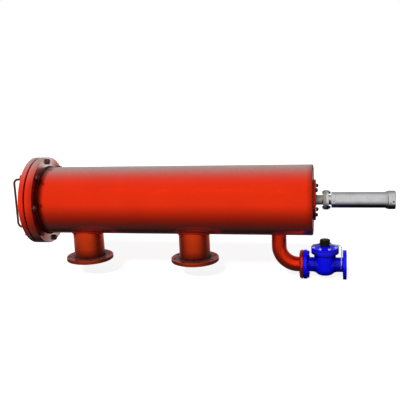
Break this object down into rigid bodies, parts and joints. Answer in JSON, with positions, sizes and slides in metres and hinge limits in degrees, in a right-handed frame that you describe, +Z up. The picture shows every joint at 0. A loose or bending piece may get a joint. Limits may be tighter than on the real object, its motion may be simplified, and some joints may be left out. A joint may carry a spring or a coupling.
{
  "type": "self cleaning filter",
  "caption": "Flanged horizontal filter housing with a suction scanner inside a fine screen, a drive cylinder on its end and a diaphragm flush valve on its drain.",
  "frame": {"origin": "centre of the inlet flange's mating face", "axes": "+X along the housing from the cover to the drive cylinder, +Y to the back, +Z up from the inlet face to the housing"},
  "size_m": [2.65, 0.624, 0.865],
  "materials": {
    "red_paint": "gloss",
    "handle_paint": "satin",
    "blue_paint": "gloss",
    "grey_steel": "turned",
    "dark_steel": "dull",
    "stainless": "satin",
    "bronze": "turned",
    "brass": "turned",
    "rubber": "matt",
    "black_plastic": "moulded",
    "tube_plastic": "smooth"
  },
  "bodies": {
    "housing": {"housing_shell": "red_paint", "body_flange": "red_paint", "end_head": "red_paint", "cover_plate": "red_paint", "cover_gasket": "rubber", "cover_bolts": "dark_steel", "cover_nuts": "dark_steel", "front_handle": "handle_paint", "rear_handle": "handle_paint", "inlet_pipe": "red_paint", "inlet_flange": "red_paint", "outlet_pipe": "red_paint", "outlet_flange": "red_paint", "drain_elbow": "red_paint", "drain_flange": "red_paint", "screen_carrier": "stainless", "flush_wall": "stainless", "carrier_bush": "bronze", "wall_bush": "bronze", "coarse_screen": "stainless", "screen_cage": "stainless", "screen_mesh": "stainless", "screen_seals": "rubber", "end_cover": "red_paint", "cylinder_neck": "grey_steel", "end_gasket": "rubber", "end_studs": "dark_steel", "mount_bolts": "dark_steel", "front_head": "grey_steel", "rod_bush": "bronze", "rod_seal": "rubber", "cylinder_tube": "grey_steel", "lock_ring": "grey_steel", "rear_cap": "grey_steel", "drain_gasket": "rubber", "drain_bolts": "dark_steel", "drain_nuts": "dark_steel", "valve_body": "blue_paint", "valve_seat": "bronze", "valve_bonnet": "blue_paint", "bonnet_bolts": "grey_steel", "diaphragm": "rubber", "valve_spring": "stainless", "pilot_cap": "black_plastic", "control_tube": "tube_plastic", "control_fittings": "brass"},
    "piston_carriage": {"piston": "stainless", "piston_seals": "rubber", "piston_nut": "dark_steel", "piston_rod": "stainless"},
    "scanner": {"scanner_tube": "stainless", "scanner_plug": "stainless", "suction_nozzles": "stainless", "jet_rotor": "stainless", "swivel_housing": "stainless", "swivel_cap": "stainless"},
    "plug_set": {"valve_stem": "stainless", "valve_plug": "stainless", "plug_seal": "rubber", "stem_plates": "stainless"}
  },
  "joints": [
    {"name": "scan_slide", "type": "slide", "parent": "housing", "child": "piston_carriage", "axis": [-1, 0, 0], "range_m": [0, 0.24]},
    {"name": "scanner_spin", "type": "hinge", "parent": "piston_carriage", "child": "scanner", "pos_m": [1.556, 0, 0.44], "axis": [1, 0, 0], "continuous": true},
    {"name": "plug_lift", "type": "slide", "parent": "housing", "child": "plug_set", "axis": [0, 0, 1], "range_m": [0, 0.014], "stiffness_N_per_m": 5000, "springref_m": -0.01, "deforming": ["valve_spring", "diaphragm"]}
  ]
}
